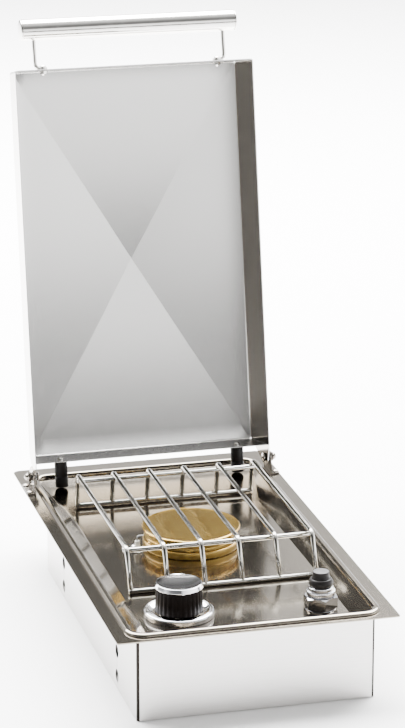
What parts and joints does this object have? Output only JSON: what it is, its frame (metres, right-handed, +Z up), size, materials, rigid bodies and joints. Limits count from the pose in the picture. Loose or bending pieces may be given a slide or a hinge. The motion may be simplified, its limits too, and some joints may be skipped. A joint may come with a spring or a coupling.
{
  "type": "built in side burner",
  "caption": "Drop in gas side burner: pressed stainless top with wire grate, brass burner, control knob, push igniter and a hinged lid that opens back.",
  "frame": {"origin": "on the underside of the bottom pan, straight below the middle of the top plate", "axes": "+Z up, -Y towards the user at the knob end, +X to the right of the user"},
  "size_m": [0.312, 0.6238, 0.6413],
  "materials": {
    "pressed_stainless": "pressed stainless, finely polished",
    "box_stainless": "satin stainless sheet",
    "lid_stainless": "brushed stainless sheet",
    "polished_steel": "polished stainless",
    "chrome_plate": "bright chrome plate",
    "brass": "machined brass",
    "black_plastic": "moulded, semi gloss",
    "black_rubber": "moulded, matt",
    "glazed_ceramic": "glazed white ceramic",
    "spring_steel": "drawn wire",
    "lead_cover": "silicone sleeve"
  },
  "bodies": {
    "housing": {"top_plate": "pressed_stainless", "front_panel": "box_stainless", "back_panel": "box_stainless", "left_side_panel": "box_stainless", "right_side_panel": "box_stainless", "bottom_pan": "box_stainless", "left_hinge_bracket": "polished_steel", "left_bracket_front_screw": "polished_steel", "left_bracket_back_screw": "polished_steel", "left_hinge_bolt": "polished_steel", "left_hinge_nut": "polished_steel", "right_hinge_bracket": "polished_steel", "right_bracket_front_screw": "polished_steel", "right_bracket_back_screw": "polished_steel", "right_hinge_bolt": "polished_steel", "right_hinge_nut": "polished_steel", "burner_head": "brass", "burner_locknut": "box_stainless", "mixer_tube": "box_stainless", "valve_body": "brass", "left_valve_screw": "polished_steel", "right_valve_screw": "polished_steel", "gas_inlet_fitting": "brass", "gas_orifice": "brass", "knob_bezel": "chrome_plate", "igniter_body": "black_plastic", "igniter_washer": "chrome_plate", "igniter_nut": "chrome_plate", "igniter_collar": "chrome_plate", "igniter_boot": "black_rubber", "igniter_battery": "spring_steel", "igniter_spring": "spring_steel", "electrode_ceramic": "glazed_ceramic", "spark_electrode": "spring_steel", "electrode_clamp": "polished_steel", "electrode_clamp_screw": "polished_steel", "ignition_lead": "lead_cover"},
    "lid": {"lid_shell": "lid_stainless", "handle_tube": "polished_steel", "left_handle_cap": "polished_steel", "left_handle_rod": "polished_steel", "left_handle_bolt": "polished_steel", "left_handle_nut": "polished_steel", "left_bumper": "black_rubber", "left_bumper_screw": "polished_steel", "right_handle_cap": "polished_steel", "right_handle_rod": "polished_steel", "right_handle_bolt": "polished_steel", "right_handle_nut": "polished_steel", "right_bumper": "black_rubber", "right_bumper_screw": "polished_steel"},
    "valve_turn": {"valve_plug": "brass", "valve_spring": "spring_steel"},
    "knob": {"valve_stem": "spring_steel", "knob_skirt": "black_plastic", "knob_cap": "chrome_plate"},
    "igniter_push": {"igniter_button": "black_rubber"},
    "grate": {"cooking_grate": "polished_steel"},
    "cap": {"burner_cap": "brass"},
    "shutter": {"air_shutter": "box_stainless"}
  },
  "joints": [
    {"name": "lid_hinge", "type": "hinge", "parent": "housing", "child": "lid", "pos_m": [0, 0.2085, 0.1136], "axis": [-1, 0, 0], "range_deg": [-100.66, 0]},
    {"name": "knob_turn", "type": "hinge", "parent": "housing", "child": "valve_turn", "pos_m": [-0.0665, -0.19, 0.12], "axis": [0, 0, 1], "range_deg": [0, 180]},
    {"name": "knob_push", "type": "slide", "parent": "valve_turn", "child": "knob", "axis": [0, 0, -1], "range_m": [0, 0.003], "stiffness_N_per_m": 1500, "springref_m": -0.002, "deforming": ["valve_spring"]},
    {"name": "igniter_button_push", "type": "slide", "parent": "housing", "child": "igniter_push", "axis": [0, 0, -1], "range_m": [0, 0.003], "stiffness_N_per_m": 800, "springref_m": -0.002, "deforming": ["igniter_spring"]},
    {"name": "grate_lift", "type": "slide", "parent": "housing", "child": "grate", "axis": [0, 0, 1], "range_m": [0, 0.06]},
    {"name": "burner_cap_lift", "type": "slide", "parent": "housing", "child": "cap", "axis": [0, 0, 1], "range_m": [0, 0.018]},
    {"name": "air_shutter_turn", "type": "hinge", "parent": "housing", "child": "shutter", "pos_m": [-0.0665, -0.19, 0.0516], "axis": [0.3057, 0.9521, 0], "range_deg": [0, 60]}
  ]
}
